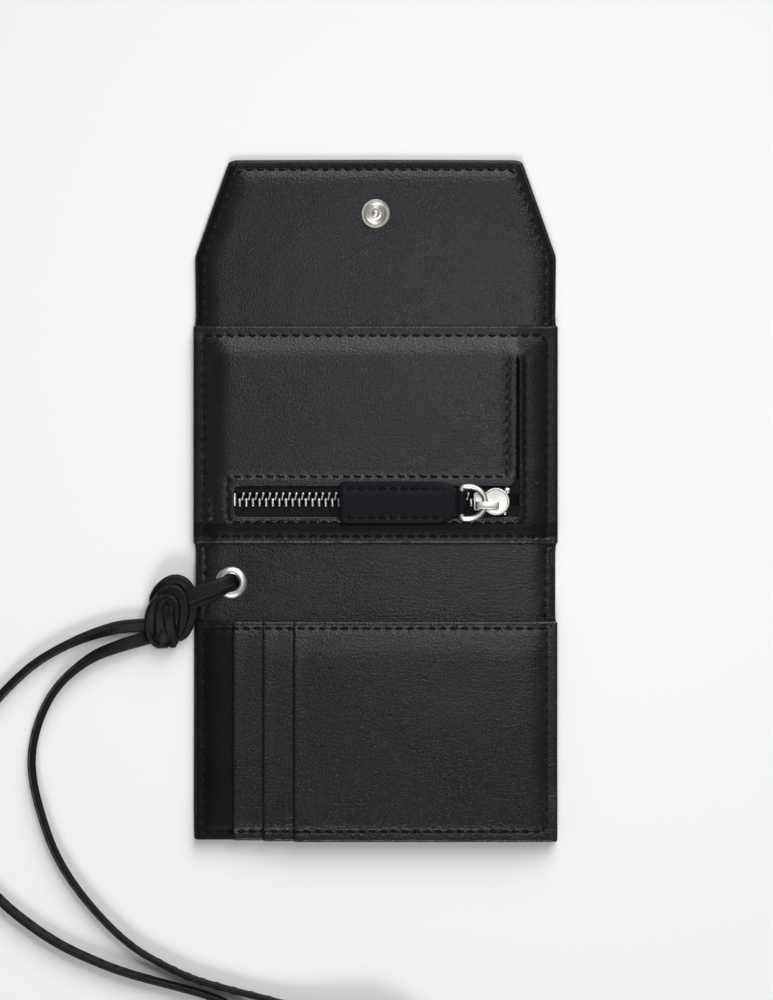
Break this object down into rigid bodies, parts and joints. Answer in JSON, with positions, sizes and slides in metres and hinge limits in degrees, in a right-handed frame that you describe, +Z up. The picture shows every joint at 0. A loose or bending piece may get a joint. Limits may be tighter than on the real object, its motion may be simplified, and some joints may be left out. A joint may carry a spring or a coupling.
{
  "type": "neck pouch wallet",
  "caption": "Tri-fold leather neck wallet lying open: snap flap, zip pocket with ring and tab, card slots and a knotted flat leather neck cord.",
  "frame": {"origin": "on the table, under the middle of the open wallet's outline, neck cord left out", "axes": "+X across the panels towards the zip's closed end, +Y from the card panel towards the flap, +Z up from the table"},
  "size_m": [0.1719, 0.2961, 0.0104],
  "materials": {
    "outer_leather": "satin, fine smooth grain",
    "lining_leather": "satin, finely wrinkled grain",
    "cord_leather": "satin, painted edges",
    "nickel": "bright nickel plating",
    "zip_metal": "polished",
    "textile": "woven, matt"
  },
  "bodies": {
    "spine": {"spine_leather": "outer_leather", "spine_lining": "lining_leather", "eyelet": "nickel", "eyelet_washer": "nickel", "cord_loop_over": "cord_leather", "cord_loop_under": "cord_leather", "cord_knot": "cord_leather", "cord_outer_strand": "cord_leather", "cord_inner_strand": "cord_leather", "cord_coil": "cord_leather", "cord_tie": "cord_leather"},
    "zip_panel": {"zip_panel_leather": "outer_leather", "zip_panel_lining": "lining_leather", "pocket_lining": "textile", "pocket_facing": "outer_leather", "zip_tape_far": "textile", "zip_tape_near": "textile", "zip_teeth_far": "zip_metal", "zip_teeth_near": "zip_metal", "zip_bottom_stop": "zip_metal", "zip_top_stop_far": "zip_metal", "zip_top_stop_near": "zip_metal"},
    "slider": {"zip_slider": "nickel", "slider_bridge": "nickel"},
    "ring": {"pull_ring": "nickel"},
    "tab": {"pull_tab": "outer_leather"},
    "flap_spine": {"flap_spine_leather": "outer_leather", "flap_spine_lining": "lining_leather"},
    "flap": {"flap_leather": "outer_leather", "flap_lining": "lining_leather", "snap_cap": "nickel", "snap_socket": "nickel"},
    "card_panel": {"card_panel_leather": "outer_leather", "card_panel_lining": "lining_leather", "card_slot_base": "outer_leather", "card_slot_1": "outer_leather", "card_slot_2": "outer_leather", "card_slot_3": "outer_leather", "snap_stud": "nickel", "snap_post": "nickel"}
  },
  "joints": [
    {"name": "zip_panel_fold", "type": "hinge", "parent": "spine", "child": "zip_panel", "pos_m": [0, -0.0175, 0.0037], "axis": [1, 0, 0], "range_deg": [0, 90]},
    {"name": "card_panel_fold", "type": "hinge", "parent": "spine", "child": "card_panel", "pos_m": [0, -0.0295, 0.0037], "axis": [-1, 0, 0], "range_deg": [0, 90]},
    {"name": "flap_fold", "type": "hinge", "parent": "zip_panel", "child": "flap_spine", "pos_m": [0, 0.0503, 0.0037], "axis": [1, 0, 0], "range_deg": [0, 90]},
    {"name": "flap_outer_fold", "type": "hinge", "parent": "flap_spine", "child": "flap", "pos_m": [0, 0.0667, 0.0037], "axis": [1, 0, 0], "range_deg": [0, 90]},
    {"name": "zip_slide", "type": "slide", "parent": "zip_panel", "child": "slider", "axis": [-1, 0, 0], "range_m": [0, 0.066], "deforming": ["zip_teeth_far", "zip_teeth_near"]},
    {"name": "ring_swing", "type": "hinge", "parent": "slider", "child": "ring", "pos_m": [0.031, -0.00085, 0.00845], "axis": [0, -1, 0], "range_deg": [-90, 0]},
    {"name": "tab_swing", "type": "hinge", "parent": "ring", "child": "tab", "pos_m": [0.0243, -0.00085, 0.00845], "axis": [0, -1, 0], "range_deg": [-80, 0]}
  ],
  "couplings": [
    {"joint": "flap_fold", "follows": "flap_outer_fold", "ratio": 1}
  ]
}
